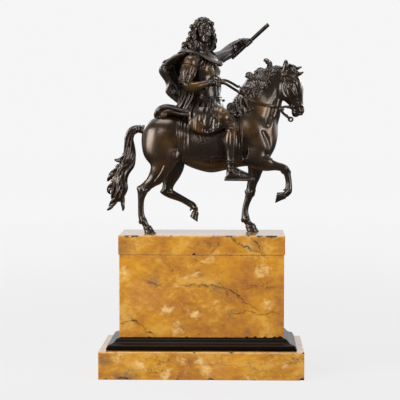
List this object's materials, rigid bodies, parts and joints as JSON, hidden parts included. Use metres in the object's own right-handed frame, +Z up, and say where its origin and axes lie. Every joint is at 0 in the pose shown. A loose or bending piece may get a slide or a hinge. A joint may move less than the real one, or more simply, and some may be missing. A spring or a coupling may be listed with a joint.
{
  "type": "equestrian statuette",
  "caption": "Dark patinated horse and rider at the walk, the rider in a cloak with a baton, on a stepped oblong plinth of yellow marble.",
  "frame": {"origin": "centre of the plinth's underside, the face that the piece stands on", "axes": "+X towards the horse's head, -Y towards the side that the group is meant to be seen from, +Z up"},
  "size_m": [0.2719, 0.15, 0.4785],
  "materials": {
    "yellow_marble": "polished",
    "dark_moulding": "dark patina, waxed",
    "patinated_bronze": "brown-black patina, waxed and rubbed"
  },
  "bodies": {
    "root": {"plinth_base_slab": "yellow_marble", "plinth_moulding": "dark_moulding", "plinth_die": "yellow_marble", "plinth_cap": "yellow_marble", "horse": "patinated_bronze", "horse_tail": "patinated_bronze", "rider": "patinated_bronze", "baton": "patinated_bronze", "rein_near": "patinated_bronze", "rein_far": "patinated_bronze", "curb_branch_near": "patinated_bronze", "curb_branch_far": "patinated_bronze"}
  },
  "joints": []
}
